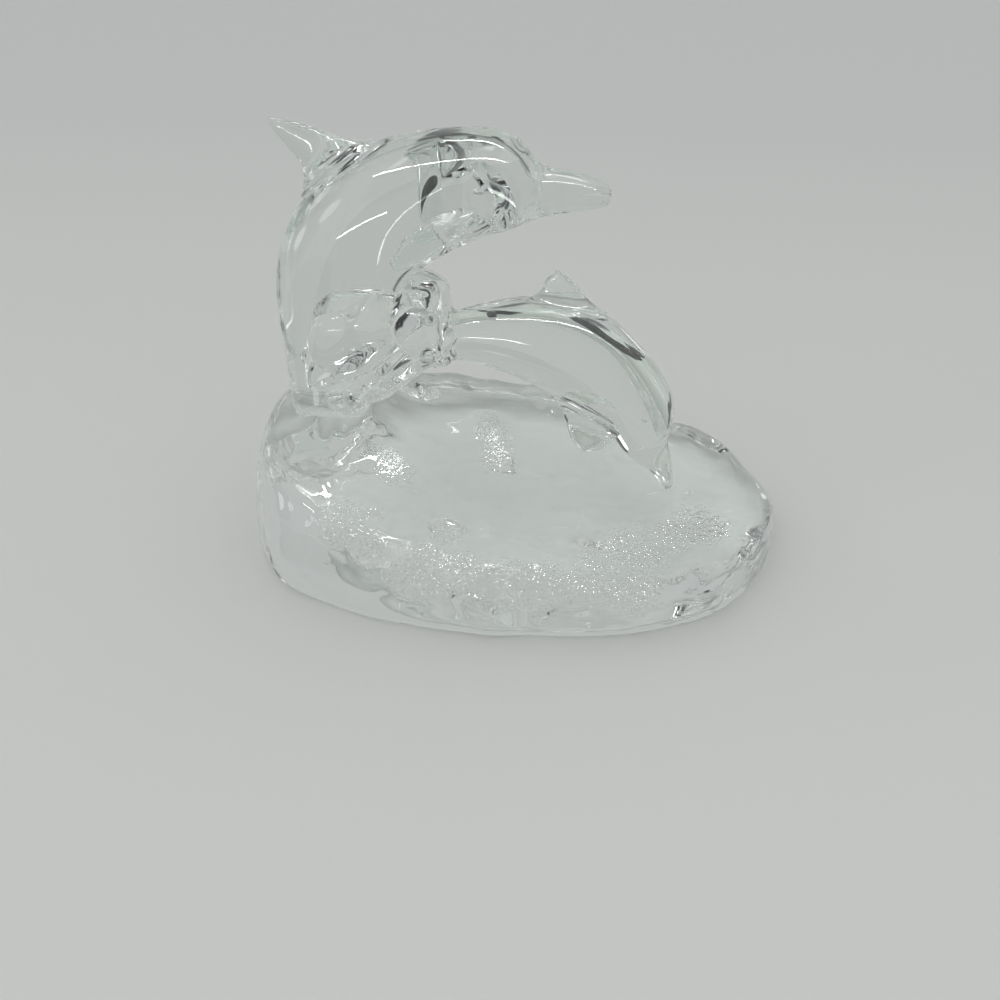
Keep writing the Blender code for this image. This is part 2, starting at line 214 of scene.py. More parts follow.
def mound(x, y):
    """Height of the water that the adult rises from."""
    reach = ((x - FOOT_X) / MOUND_SPREAD_ALONG) ** 2 + (y / MOUND_SPREAD_ACROSS) ** 2
    return MOUND_HEIGHT * math.exp(-reach / 2)


def small_crest(x, y):
    """A crest that is highest in the middle of its run and fades out at both ends."""
    share = (y - CREST_Y) / CREST_LENGTH
    if abs(share) > 0.5:
        return 0.0
    aside = (x - CREST_X - CREST_LEAN * share) / CREST_HALF_WIDTH
    return CREST_HEIGHT * math.cos(math.pi * share) * math.exp(-(aside**2))


def base_top(x, y):
    """Height of the base's top at a place."""
    lift = BACK_LIFT * y / (BASE_WIDTH / 2)
    return sea_level(x) + lift + mound(x, y) + small_crest(x, y) + SWELL * ripple(x, y, 0)


print(f"base: {base_top(-60 * MM, -20 * MM) / MM:.1f} mm deep at the left, "
      f"{base_top(60 * MM, -10 * MM) / MM:.1f} mm at the right")

# %% Build the base


def base_reach(turn):
    """Distance from the middle of the base to its widest line, in the direction of turn."""
    along = abs(math.cos(turn)) / (BASE_LENGTH / 2)
    across = abs(math.sin(turn)) / (BASE_WIDTH / 2)
    return (along**BASE_FULLNESS + across**BASE_FULLNESS) ** (-1 / BASE_FULLNESS)


def base_point(turn, inset, z):
    """A point in the direction of turn, this far in from the widest line."""
    reach = base_reach(turn) - inset
    return Vector((reach * math.cos(turn), reach * math.sin(turn), z))


def fitted(rings):
    """The rings stretched and shifted so that they measure the base's length and width."""
    for axis, size in ((0, BASE_LENGTH), (1, BASE_WIDTH)):
        low = min(p[axis] for ring in rings for p in ring)
        high = max(p[axis] for ring in rings for p in ring)
        for ring in rings:
            for p in ring:
                p[axis] = ((p[axis] - low) / (high - low) - 0.5) * size
    return rings


def sea_base():
    """The swell: a rippled top, a rounded shoulder, and a side that draws in to a flat foot."""
    turns = [2 * math.pi * i / BASE_SIDES for i in range(BASE_SIDES)]
    rings = [[Vector((0, 0, base_top(0, 0)))]]
    for k in range(1, BASE_TOP_RINGS):
        ring = []
        for t in turns:
            reach = (base_reach(t) - RIM_ROUND) * k / BASE_TOP_RINGS
            x, y = reach * math.cos(t), reach * math.sin(t)
            ring.append(Vector((x, y, base_top(x, y))))
        rings.append(ring)
    for k in range(BASE_SHOULDER_RINGS + 1):
        bend = math.pi / 2 * k / BASE_SHOULDER_RINGS
        ring = []
        for t in turns:
            rim = base_point(t, RIM_ROUND, 0)
            z = WAIST_HEIGHT + (base_top(rim.x, rim.y) - WAIST_HEIGHT) * math.cos(bend)
            bulge = SIDE_LUMPS * side_lumps(t) * math.sin(bend)
            ring.append(base_point(t, RIM_ROUND * (1 - math.sin(bend)) - bulge, z))
        rings.append(ring)
    for k in range(1, BASE_FOOT_RINGS + 1):
        bend = math.pi / 2 * k / BASE_FOOT_RINGS
        z = WAIST_HEIGHT * (1 - math.sin(bend))
        ring = []
        for t in turns:
            bulge = SIDE_LUMPS * side_lumps(t) * math.cos(bend)
            ring.append(base_point(t, FOOT_INSET * (1 - math.cos(bend)) - bulge, z))
        rings.append(ring)
    return loft("sea_base", fitted(rings))


base = sea_base()
print(f"base: {len(base.data.polygons)} faces")

# %% [markdown]
# ## The two dolphins
#
# A dolphin is a spindle: narrow at the tail, fullest behind the flippers, with a round
# forehead that drops to a slim beak. Each station below is a point of the back, the point
# of the belly across from it, and the breadth there, all as shares of the dolphin's own
# size. The body is an ellipse at each station. A fine groove along the beak is the mouth.

# %% The dolphins' stations
ADULT_HEIGHT = 89.3 * MM
ADULT_BREADTH = 28.5 * MM
CALF_SPAN = 63.0 * MM
CALF_BREADTH = 22.4 * MM
WAVE_HEIGHT = 52.5 * MM
WAVE_BREADTH = 40.0 * MM
WAVE_RIM = 0.705
BEAK_BLUNT = 0.6
BEAK_SINK = 1.0 * MM
ADULT_STATIONS = (
    (-0.112, -0.116, 0.101, -0.116, 0.62),
    (-0.123, 0.040, 0.112, 0.040, 0.68),
    (-0.126, 0.197, 0.137, 0.197, 0.77),
    (-0.128, 0.354, 0.179, 0.343, 0.88),
    (-0.128, 0.511, 0.226, 0.455, 0.97),
    (-0.084, 0.690, 0.274, 0.546, 1.00),
    (0.017, 0.830, 0.325, 0.605, 1.00),
    (0.157, 0.934, 0.390, 0.645, 0.98),
    (0.319, 0.984, 0.464, 0.685, 0.93),
    (0.465, 1.000, 0.531, 0.711, 0.85),
    (0.560, 0.990, 0.580, 0.726, 0.74),
    (0.616, 0.957, 0.616, 0.741, 0.60),
    (0.652, 0.914, 0.652, 0.756, 0.46),
    (0.698, 0.897, 0.694, 0.767, 0.37),
    (0.757, 0.887, 0.755, 0.778, 0.31),
    (0.812, 0.871, 0.809, 0.786, 0.26),
    (0.843, 0.858, 0.840, 0.795, 0.20),
)
CALF_STATIONS = (
    (-0.127, 0.775, -0.095, 0.598, 0.46),
    (-0.005, 0.858, 0.008, 0.646, 0.56),
    (0.127, 0.906, 0.135, 0.623, 0.68),
    (0.262, 0.934, 0.246, 0.586, 0.82),
    (0.409, 0.940, 0.357, 0.537, 0.94),
    (0.562, 0.910, 0.460, 0.480, 1.00),
    (0.702, 0.824, 0.560, 0.421, 1.00),
    (0.830, 0.694, 0.648, 0.357, 0.96),
    (0.922, 0.571, 0.705, 0.294, 0.90),
    (0.970, 0.450, 0.746, 0.233, 0.80),
    (0.970, 0.360, 0.787, 0.189, 0.68),
    (0.956, 0.289, 0.825, 0.157, 0.54),
    (0.968, 0.227, 0.863, 0.132, 0.44),
    (0.986, 0.159, 0.898, 0.100, 0.36),
    (1.000, 0.090, 0.933, 0.056, 0.29),
    (1.005, 0.040, 0.959, 0.017, 0.22),
)


class Figure:
    """A dolphin: where its shares are measured from, its size, stations and breadth."""

    def __init__(self, name, stations, origin, size, breadth):
        self.name = name
        self.stations = stations
        self.origin = Vector(origin)
        self.size = size
        self.breadth = breadth

    def place(self, along, out, up):
        """The point at these shares of the figure's size."""
        return self.origin + Vector((along, out, up)) * self.size

    def sections(self, shares):
        """Centre, half depth from centre to back, and half breadth, at shares of the way."""
        middles = [
            ((bx + vx) / 2, (bz + vz) / 2, (bx - vx) / 2, (bz - vz) / 2, half / 2)
            for bx, bz, vx, vz, half in self.stations
        ]
        for x, z, deep_x, deep_z, half in smooth_through(middles, shares):
            deep = Vector((deep_x, 0, deep_z)) * self.size
            yield self.place(x, 0, z), deep, half * self.breadth

    def heading(self, share):
        """Direction towards the beak at a share of the way along."""
        step = 0.004
        ahead, behind = self.sections([min(share + step, 1), max(share - step, 0)])
        return (ahead[0] - behind[0]).normalized()


rim_x = FOOT_X + WAVE_RIM * WAVE_HEIGHT
tip_z = base_top(rim_x + CALF_SPAN, 0) - BEAK_SINK
adult = Figure("adult", ADULT_STATIONS, (FOOT_X, 0, sea_level(FOOT_X)), ADULT_HEIGHT, ADULT_BREADTH)
calf = Figure("calf", CALF_STATIONS, (rim_x, 0, tip_z), CALF_SPAN, CALF_BREADTH)
highest = max(ADULT_STATIONS, key=lambda station: station[1])
print(f"adult: top of the head at {adult.place(highest[0], 0, highest[1]).z / MM:.1f} mm")

# %% Loft the bodies
MOUTH_DEPTH = 0.35 * MM
MOUTH_HALF_WIDTH = math.radians(7)
MOUTH_TURN = math.radians(104)
MOUTH_OPENS_OVER = 0.04
BEAK_END_RINGS = 8


def body_ring(centre, deep, half, sides, groove=0.0):
    """One elliptical section. The groove is cut in on both sides, below the middle."""
    ring = []
    for i in range(sides):
        t = 2 * math.pi * (i + 0.5) / sides
        aside = (abs(math.pi - abs(t - math.pi)) - MOUTH_TURN) / MOUTH_HALF_WIDTH
        keep = 1 - groove * math.exp(-(aside**2)) / half
        ring.append(centre + (deep * math.cos(t) + Vector((0, half * math.sin(t), 0))) * keep)
    return ring


def body(figure, sides, count, mouth_from):
    """The body from the tail to the rounded end of the beak."""
    shares = [k / (count - 1) for k in range(count)]
    rings = []
    for share, section in zip(shares, figure.sections(shares)):
        open_share = min(max((share - mouth_from) / MOUTH_OPENS_OVER, 0), 1)
        rings.append(body_ring(*section, sides, MOUTH_DEPTH * open_share))
    centre, deep, half = next(figure.sections([1]))
    ahead = figure.heading(1) * deep.length * BEAK_BLUNT
    for k in range(1, BEAK_END_RINGS):
        bend = math.pi / 2 * k / BEAK_END_RINGS
        shrink = math.cos(bend)
        groove = MOUTH_DEPTH * shrink
        middle = centre + ahead * math.sin(bend)
        rings.append(body_ring(middle, deep * shrink, half * shrink, sides, groove))
    rings.append([centre + ahead])
    return loft(figure.name + "_body", rings)


adult_body = body(adult, sides=84, count=210, mouth_from=0.855)
calf_body = body(calf, sides=72, count=150, mouth_from=0.865)
print(f"bodies: {len(adult_body.data.polygons) + len(calf_body.data.polygons)} faces")

# %% [markdown]
# ## Fins, flippers and eyes
#
# A fin's section is a thin lens, thickest at the root. Two short curves, the leading edge
# and the trailing edge, give it its sweep, and the loft runs between them from the root to
# the tip. The roots run into the body, so that nothing shows of their ends once the forms
# are fused. Hot glass never meets glass in a sharp corner, so each root flares a little,
# thicker and longer, where it grows out of the body.

# %% Loft the fins
ADULT_FIN_THICKNESS = 5.0 * MM
CALF_FIN_THICKNESS = 4.0 * MM
ADULT_FLIPPER_THICKNESS = 5.0 * MM
CALF_FLIPPER_THICKNESS = 3.6 * MM
FIN_ROOT_SINK = 3.0 * MM
FLIPPER_ROOT_SINK = 5.0 * MM
FLARE_REACH = 0.45
FLARE_THICK = 1.5
FLARE_LONG = 0.45
FIN_THINS = 0.6
FIN_TIP_ROUND = 0.2
FIN_SIDES = 36
FIN_RINGS = 26
FIN_TIP_RINGS = 6
ADULT_DORSAL = (
    ((0.159, 0.0, 0.935), (0.069, 0.0, 0.978), (-0.011, 0.0, 1.003), (-0.078, 0.0, 1.014)),
    ((0.011, 0.0, 0.824), (-0.012, 0.0, 0.891), (-0.052, 0.0, 0.945), (-0.086, 0.0, 0.994)),
)
CALF_DORSAL = (
    ((0.594, 0.0, 0.886), (0.548, 0.0, 0.960), (0.500, 0.0, 1.020), (0.446, 0.0, 1.058)),
    ((0.333, 0.0, 0.925), (0.362, 0.0, 0.984), (0.386, 0.0, 1.034), (0.416, 0.0, 1.058)),
)
ADULT_FLIPPER = (
    ((0.476, 0.115, 0.746), (0.414, 0.174, 0.730), (0.358, 0.202, 0.699), (0.290, 0.230, 0.680)),
    ((0.398, 0.135, 0.791), (0.364, 0.185, 0.802), (0.314, 0.213, 0.770), (0.275, 0.230, 0.715)),
)
CALF_FLIPPER = (
    ((0.722, 0.100, 0.392), (0.698, 0.140, 0.337), (0.648, 0.165, 0.306), (0.595, 0.175, 0.302)),
    ((0.489, 0.100, 0.495), (0.495, 0.140, 0.421), (0.521, 0.165, 0.354), (0.563, 0.175, 0.313)),
)


def fin(name, figure, edges, thickness, sink, side=1):
    """A fin of lens-shaped sections between its leading and trailing edges."""
    leading, trailing = ([figure.place(x, -side * out, z) for x, out, z in edge] for edge in edges)
    shares = [k / FIN_RINGS for k in range(FIN_RINGS + 1)]
    front = [Vector(p) for p in smooth_through(leading, shares)]
    rear = [Vector(p) for p in smooth_through(trailing, shares)]
    span = (front[-1] + rear[-1] - front[0] - rear[0]).normalized()
    broad = (rear[0] - front[0]).cross(span).normalized()
    turns = [2 * math.pi * (i + 0.5) / FIN_SIDES for i in range(FIN_SIDES)]
    rings = []
    for share, lead, trail in zip(shares, front, rear):
        flare = max(1 - share / FLARE_REACH, 0) ** 2
        thick = thickness / 2 * (1 - FIN_THINS * share) * (1 + FLARE_THICK * flare)
        middle, half = (lead + trail) / 2, (trail - lead) / 2 * (1 + FLARE_LONG * flare)
        if not rings:
            root = middle - span * sink
            rings.append([root + half * math.cos(t) + broad * thick * math.sin(t) for t in turns])
        rings.append([middle + half * math.cos(t) + broad * thick * math.sin(t) for t in turns])
    tip, half = (front[-1] + rear[-1]) / 2, (rear[-1] - front[-1]) / 2
    for k in range(1, FIN_TIP_RINGS):
        bend = math.pi / 2 * k / FIN_TIP_RINGS
        shrink = math.cos(bend)
        end = tip + span * thickness * FIN_TIP_ROUND * math.sin(bend)
        thick = thickness / 2 * (1 - FIN_THINS) * shrink
        rings.append([end + half * shrink * math.cos(t) + broad * thick * math.sin(t) for t in turns])
    rings.append([tip + span * thickness * FIN_TIP_ROUND])
    return loft(name, rings)


fins = [
    fin("adult_dorsal", adult, ADULT_DORSAL, ADULT_FIN_THICKNESS, FIN_ROOT_SINK),
    fin("calf_dorsal", calf, CALF_DORSAL, CALF_FIN_THICKNESS, FIN_ROOT_SINK),
]
for label, side in (("near", 1), ("far", -1)):
    for figure, edges, thickness in (
        (adult, ADULT_FLIPPER, ADULT_FLIPPER_THICKNESS), (calf, CALF_FLIPPER, CALF_FLIPPER_THICKNESS)
    ):
        name = f"{figure.name}_flipper_{label}"
        fins.append(fin(name, figure, edges, thickness, FLIPPER_ROOT_SINK, side))
print(f"fins and flippers: {len(fins)}")

# %% Set the eyes
EYE_STAND = 0.5 * MM
EYE_SIDES = 24
EYE_RINGS = 7
EYE_ROOT = 0.8
# Each is its share of the way to the beak, its turn from the back in degrees, and its length.
ADULT_EYE = (0.787, 84.0, 0.034)
CALF_EYE = (0.700, 80.0, 0.038)


def eye(name, figure, share, degrees, length_share):
    """A low dome, longer along the head than across it."""
    eye_length = length_share * figure.size
    centre, deep, half = next(figure.sections([share]))
    turn = math.radians(degrees)
    across = Vector((0, -1, 0))
    spot = centre + deep * math.cos(turn) + across * half * math.sin(turn)
    out = (deep / deep.length_squared * math.cos(turn) + across / half * math.sin(turn)).normalized()
    up = figure.heading(share).cross(out).normalized()
    along = out.cross(up).normalized() * eye_length / 2
    up = up * eye_length / 3
    turns = [2 * math.pi * i / EYE_SIDES for i in range(EYE_SIDES)]
    root = spot - out * eye_length / 2
    rings = [[root + (along * math.cos(t) + up * math.sin(t)) * EYE_ROOT for t in turns]]
    for k in range(EYE_RINGS):
        bend = math.pi / 2 * k / EYE_RINGS
        lift = out * EYE_STAND * math.sin(bend)
        shrink = math.cos(bend)
        rings.append([spot + lift + (along * math.cos(t) + up * math.sin(t)) * shrink for t in turns])
    rings.append([spot + out * EYE_STAND])
    return loft(name, rings)


eyes = []
for label, side in (("near", 1), ("far", -1)):
    for figure, (share, degrees, size) in ((adult, ADULT_EYE), (calf, CALF_EYE)):
        eyes.append(eye(f"{figure.name}_eye_{label}", figure, share, side * degrees, size))
print(f"eyes: {len(eyes)}")

# %% [markdown]
# ## The breaking wave
#
# The wave is three billows that grow into each other: a broad shoulder beside the adult's
# belly, a crest that the calf comes out of, and a rolled lip that overhangs the base. Each
# billow is its outline seen from the side, rounded off towards the front and the back.

# %% Loft the billows
BILLOW_FULLNESS = 3.6
BILLOW_SIDES = 96
BILLOW_RINGS = 48
# Each is an outline in shares of the wave's height, then how wide its left and right are.
WAVE_SHOULDER = (
    (
        (-0.066, 0.373), (-0.072, 0.620), (-0.050, 0.770), (0.000, 0.868), (0.090, 0.922),
        (0.225, 0.955), (0.335, 0.998), (0.392, 0.945), (0.419, 0.850), (0.448, 0.716),
        (0.362, 0.573), (0.210, 0.469), (0.057, 0.392),
    ),
    0.85,
    1.00,
)
WAVE_CREST = (
    (
        (0.381, 0.716), (0.376, 0.880), (0.450, 0.945), (0.545, 0.945), (0.622, 0.912),
        (0.670, 0.850), (0.690, 0.765), (0.706, 0.665), (0.712, 0.541), (0.590, 0.535),
        (0.476, 0.602),
    ),
    0.90,
    0.72,
)
WAVE_ROLL = (
    (
        (0.057, 0.259), (0.248, 0.301), (0.390, 0.370), (0.495, 0.459), (0.610, 0.554),
        (0.714, 0.630), (0.743, 0.691), (0.686, 0.743), (0.552, 0.735), (0.457, 0.688),
        (0.352, 0.592), (0.229, 0.507), (0.095, 0.459), (0.000, 0.373),
    ),
    1.02,
    0.75,
)


def billow(name, outline, left_share, right_share):
    """A billow of the wave: its side outline, rounded off towards the front and the back."""
    sides = smooth_round(outline, BILLOW_SIDES) * WAVE_HEIGHT
    middle = sides.mean(axis=0)
    low, high = sides[:, 0].min(), sides[:, 0].max()
    rings = []
    for k in range(BILLOW_RINGS + 1):
        tilt = math.pi * k / BILLOW_RINGS
        shrink = abs(math.sin(tilt)) ** (2 / BILLOW_FULLNESS)
        out = -math.copysign(abs(math.cos(tilt)) ** (2 / BILLOW_FULLNESS), math.cos(tilt))
        ring = []
        for side in sides if 0 < k < BILLOW_RINGS else [middle]:
            x, z = middle + (side - middle) * shrink
            share = left_share + (right_share - left_share) * (x - low) / (high - low)
            y = out * (share * WAVE_BREADTH + SWELL * ripple(x, 0, z)) / 2
            ring.append(Vector((FOOT_X + x, y, sea_level(FOOT_X) + z)))
        rings.append(ring)
    return loft(name, rings)


billows = [
    billow("wave_shoulder", *WAVE_SHOULDER),
    billow("wave_crest", *WAVE_CREST),
    billow("wave_roll", *WAVE_ROLL),
]
print(f"wave: {sum(len(b.data.polygons) for b in billows)} faces")

# %% [markdown]
# ## The mould's ripples
#
# The water of the real piece isn't smooth. The mould gave it ripples a few millimetres
# long. They could be painted as bump, but clear glass bends light at every slope, so real
# relief looks far better here. A Geometry Nodes tree moves each point along its own normal
# by two sizes of noise. It only ever moves points inwards, which keeps the ornament inside
# its measured size, and it fades out near the underside, which stays flat.
#
# The real water also has a few shallow hollows, as if a spoon had pressed it, and patches
# where the mould was grainy. They aren't spread evenly, so chance can't place them. Each
# is a spot with a place on the water and a reach, both in millimetres.

# %% Say where the water is grainy or hollow
STIPPLED = (
    (-43, -37, 27, 9), (-36, -46, 24, 8), (-15, -36, 24, 6), (-39, 2, 29, 6), (-33, -14, 27, 8),
    (-22, -46, 17, 10), (-9, -44, 17, 8), (3, -45, 15, 9), (13, -44, 15, 8), (25, -41, 14, 10),
    (37, -30, 18, 12), (47, -22, 17, 9), (54, -15, 16, 11), (35, -41, 13, 10), (-72, 14, 22, 12),
    (-8, 12, 29, 9), (-5, 0, 27, 7), (-30, -17, 44, 16),
)
HOLLOWS = (
    (-36, -45, 23, 4.6), (-35, -36, 27, 3.8), (-15, -35, 24, 5.5), (-19, -44, 22, 4.4),
    (-53, -34, 24, 5.0),
)
STIPPLE_CORE = 0.4
HOLLOW_CORE = 0.7
HOLLOW_DEPTH = 0.9 * MM
GRAIN_DEPTH = 0.5 * MM
GRAIN_LENGTH = 2.6 * MM


def node(tree, kind, feeds=(), **settings):
    """Add a node with its settings. Each feed gives a socket a link or a plain value."""
    made = tree.nodes.new(kind)
    for name, value in settings.items():
        if hasattr(made, name):
            setattr(made, name, value)
        else:
            made.inputs[name.replace("_", " ")].default_value = value
    for socket, source in feeds:
        if isinstance(source, bpy.types.NodeSocket):
            tree.links.new(source, made.inputs[socket])
        else:
            made.inputs[socket].default_value = source
    return made


def near_spots(tree, place, spots, core):
    """How near a place is to the listed spots: 1 within the core of a spot, 0 outside it."""
    nearest = None
    for *middle, reach in spots:
        away = node(
            tree, "ShaderNodeVectorMath", [(0, place), (1, [v * MM for v in middle])], operation="DISTANCE"
        )
        inside = node(
            tree, "ShaderNodeMapRange", [("Value", away.outputs["Value"])],
            interpolation_type="SMOOTHSTEP", From_Min=reach * MM, From_Max=core * reach * MM,
        )
        if nearest is None:
            nearest = inside
        else:
            feeds = [(0, nearest.outputs[0]), (1, inside.outputs[0])]
            nearest = node(tree, "ShaderNodeMath", feeds, operation="MAXIMUM")
    return nearest.outputs[0]


print(f"spots: {len(STIPPLED)} grainy, {len(HOLLOWS)} hollow")

# %% A tree of nodes that ripples a surface
RIPPLE_SEED = 3.0
PIT_SEED = 8.0
GRAIN_SEED = 5.0


def ripple_tree():
    """Geometry Nodes: ripples, pits, grain and hollows, inwards, above a fade height."""
    tree = bpy.data.node_groups.new("mould ripples", "GeometryNodeTree")
    face = tree.interface
    face.new_socket("Geometry", in_out="INPUT", socket_type="NodeSocketGeometry")
    for name in ("Ripple height", "Ripple length", "Pit height", "Pit length", "Fade height"):
        face.new_socket(name, in_out="INPUT", socket_type="NodeSocketFloat")
    face.new_socket("Finish", in_out="INPUT", socket_type="NodeSocketMaterial")
    face.new_socket("Geometry", in_out="OUTPUT", socket_type="NodeSocketGeometry")
    start = tree.nodes.new("NodeGroupInput")
    place = tree.nodes.new("GeometryNodeInputPosition").outputs["Position"]
    normal = tree.nodes.new("GeometryNodeInputNormal")
    depths = []
    for size, reach, seed in (
        ("Ripple height", "Ripple length", RIPPLE_SEED), ("Pit height", "Pit length", PIT_SEED),
    ):
        scale = node(tree, "ShaderNodeMath", [(0, 1.0), (1, start.outputs[reach])], operation="DIVIDE")
        noise = node(
            tree, "ShaderNodeTexNoise", [("Vector", place), ("Scale", scale.outputs[0])],
            noise_dimensions="4D", Detail=1.5, Roughness=0.45, Distortion=0.6, W=seed,
        )
        feeds = [(0, noise.outputs[0]), (1, start.outputs[size])]
        depths.append(node(tree, "ShaderNodeMath", feeds, operation="MULTIPLY"))
    speck = node(
        tree, "ShaderNodeTexNoise", [("Vector", place)],
        noise_dimensions="4D", Scale=1 / GRAIN_LENGTH, Detail=0.5, W=GRAIN_SEED,
    )
    grainy = near_spots(tree, place, STIPPLED, STIPPLE_CORE)
    hollow = near_spots(tree, place, HOLLOWS, HOLLOW_CORE)
    grain = node(tree, "ShaderNodeMath", [(0, grainy), (1, 2 * GRAIN_DEPTH)], operation="MULTIPLY")
    feeds = [(0, grain.outputs[0]), (1, speck.outputs[0])]
    depths.append(node(tree, "ShaderNodeMath", feeds, operation="MULTIPLY"))
    depths.append(node(tree, "ShaderNodeMath", [(0, hollow), (1, HOLLOW_DEPTH)], operation="MULTIPLY"))
    total = depths[0]
    for more in depths[1:]:
        feeds = [(0, total.outputs[0]), (1, more.outputs[0])]
        total = node(tree, "ShaderNodeMath", feeds, operation="ADD")
    parts = node(tree, "ShaderNodeSeparateXYZ", [(0, place)])
    fade = node(
        tree, "ShaderNodeMapRange",
        [("Value", parts.outputs[2]), ("From Max", start.outputs["Fade height"])],
        interpolation_type="SMOOTHSTEP", clamp=True,
    )
    feeds = [(0, total.outputs[0]), (1, fade.outputs[0])]
    faded = node(tree, "ShaderNodeMath", feeds, operation="MULTIPLY")
    inward = node(tree, "ShaderNodeMath", [(0, faded.outputs[0]), (1, -1.0)], operation="MULTIPLY")
    feeds = [(0, normal.outputs[0]), ("Scale", inward.outputs[0])]
    push = node(tree, "ShaderNodeVectorMath", feeds, operation="SCALE")
    feeds = [("Geometry", start.outputs["Geometry"]), ("Offset", push.outputs[0])]
    moved = node(tree, "GeometryNodeSetPosition", feeds)
    real = node(tree, "GeometryNodeRealizeInstances", [("Geometry", moved.outputs[0])])
    feeds = [("Geometry", real.outputs[0]), ("Material", start.outputs["Finish"])]
    dressed = node(tree, "GeometryNodeSetMaterial", feeds)
    end = tree.nodes.new("NodeGroupOutput")
    tree.links.new(dressed.outputs[0], end.inputs["Geometry"])
    return tree


def set_inputs(modifier, **values):
    """Set a Geometry Nodes modifier's inputs by their sockets' identifiers."""
    for item in modifier.node_group.interface.items_tree:
        if item.in_out == "INPUT" and item.name.replace(" ", "_").lower() in values:
            modifier[item.identifier] = values[item.name.replace(" ", "_").lower()]


ripples = ripple_tree()
print(f"ripple tree: {len(ripples.nodes)} nodes")

# %% [markdown]
# ## Two finishes of one glass
#
# Clear soda-lime or crystal glass bends light by about 1.5 and has hardly any colour: a
# breath of grey-green shows only where it is thick. The figures are fire-polished, so
# they are as smooth as a drop of water. The water carries a fine stipple, near the same
# spots as the grain, which breaks the light into sparkles. The stipple is drawn as bump,
# about a millimetre apart, because it is finer than the mesh. Two finishes of one glass
# serve better than one with a mask, because the figures pass close to the grainy spots
# and have to stay clear.

# %% Mix the finishes


def linear(hex_colour):
    """A linear colour from an sRGB hex value such as "F2F7F5"."""
    parts = [int(hex_colour[k : k + 2], 16) / 255 for k in (0, 2, 4)]
    return [c / 12.92 if c <= 0.04045 else ((c + 0.055) / 1.055) ** 2.4 for c in parts] + [1.0]


GLASS_BEND = 1.5
STIPPLE_APART = 1.1 * MM
STIPPLE_DEPTH = 1.3 * MM


def clear_glass(name, tint):
    """Transmissive glass as one Principled shader, returned with its material."""
    finish = bpy.data.materials.new(name)
    finish.use_nodes = True
    shader = finish.node_tree.nodes["Principled BSDF"]
    shader.inputs["Base Color"].default_value = linear(tint)
    shader.inputs["Metallic"].default_value = 0.0
    shader.inputs["Roughness"].default_value = 0.0
    shader.inputs["IOR"].default_value = GLASS_BEND
    shader.inputs["Transmission Weight"].default_value = 1.0
    return finish, shader


polished, _ = clear_glass("fire-polished clear glass", "F7FBF9")
water, water_shader = clear_glass("stippled clear glass", "FCFFFD")
tree = water.node_tree
where = node(tree, "ShaderNodeTexCoord").outputs["Object"]
chosen = near_spots(tree, where, STIPPLED, STIPPLE_CORE)
grain = node(
    tree, "ShaderNodeTexNoise", [("Vector", where)], Scale=1 / STIPPLE_APART, Detail=1.0, Roughness=0.5,
)
stipple = node(tree, "ShaderNodeMath", [(0, grain.outputs[0]), (1, chosen)], operation="MULTIPLY")
bump = node(
    tree, "ShaderNodeBump", [("Height", stipple.outputs[0])], Strength=1.0, Distance=STIPPLE_DEPTH,
)
tree.links.new(bump.outputs[0], water_shader.inputs["Normal"])
print("finishes:", polished.name, "and", water.name)

# %% [markdown]
# ## Fuse the casting
#
# Glass must be one closed skin. Where two forms only pushed into each other, light would
# meet a surface inside the glass that the real casting doesn't have. So the water is
# rippled first, and then every form is joined to the base by an exact Boolean union. Each
# form brings its own finish along.

# %% Ripple the water and join everything
RIPPLE_LENGTH = 14 * MM
PIT_LENGTH = 4 * MM
CALM_BELOW = 9 * MM
SHARP_ANGLE = math.radians(38)

shoulder, crest, roll = billows
for form, ripple_height, pit_height, finish in (
    (base, 1.6 * MM, 0.35 * MM, water),
    (shoulder, 1.4 * MM, 0.12 * MM, polished),
    (crest, 1.8 * MM, 0.20 * MM, polished),
    (roll, 1.2 * MM, 0.30 * MM, water),
):
    modifier = form.modifiers.new("ripples", "NODES")
    modifier.node_group = ripples
    set_inputs(
        modifier, ripple_height=ripple_height, ripple_length=RIPPLE_LENGTH, pit_height=pit_height,
        pit_length=PIT_LENGTH, fade_height=CALM_BELOW, finish=finish,
    )
    apply_modifiers(form)
for form in [adult_body, calf_body, *fins, *eyes]:
    form.data.materials.append(polished)

casting = base
joined = [adult_body, calf_body, *billows, *fins, *eyes]
for form in joined:
    union = casting.modifiers.new(form.name, "BOOLEAN")
    union.operation = "UNION"
    union.material_mode = "TRANSFER"
    union.object = form
apply_modifiers(casting)
for form in joined:
    bpy.data.objects.remove(form)
casting.name = "glass_dolphins_on_wave"
casting.data.shade_smooth()
casting.data.set_sharp_from_angle(angle=SHARP_ANGLE)
triangles = sum(len(p.vertices) - 2 for p in casting.data.polygons)
print(f"casting: {triangles} triangles")

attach(casting, "root")
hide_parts("dolphins_on_wave")

# %% [markdown]
# ## The studio
#
# The ornament stands on a plain pale floor in soft light. Clear glass shows little but
# its surroundings, so the room has to be as plain and pale as the floor, or the ornament
# would look like dark metal. A few darker patches draw the crisp dark lines in the heads
# and along the backs, and long thin lights draw the white lines.
#
# The floor is matt paper, painted a little darker towards the back as shade away from the light.
# It lies a hair below the underside, because a renderer can't tell which of two surfaces
# in the same plane comes first.

# %% Lay the floor
FLOOR_SIZE = 6.0
FLOOR_GAP = 0.05 * MM
PAPER_NEAR = -120 * MM
PAPER_FAR = 450 * MM

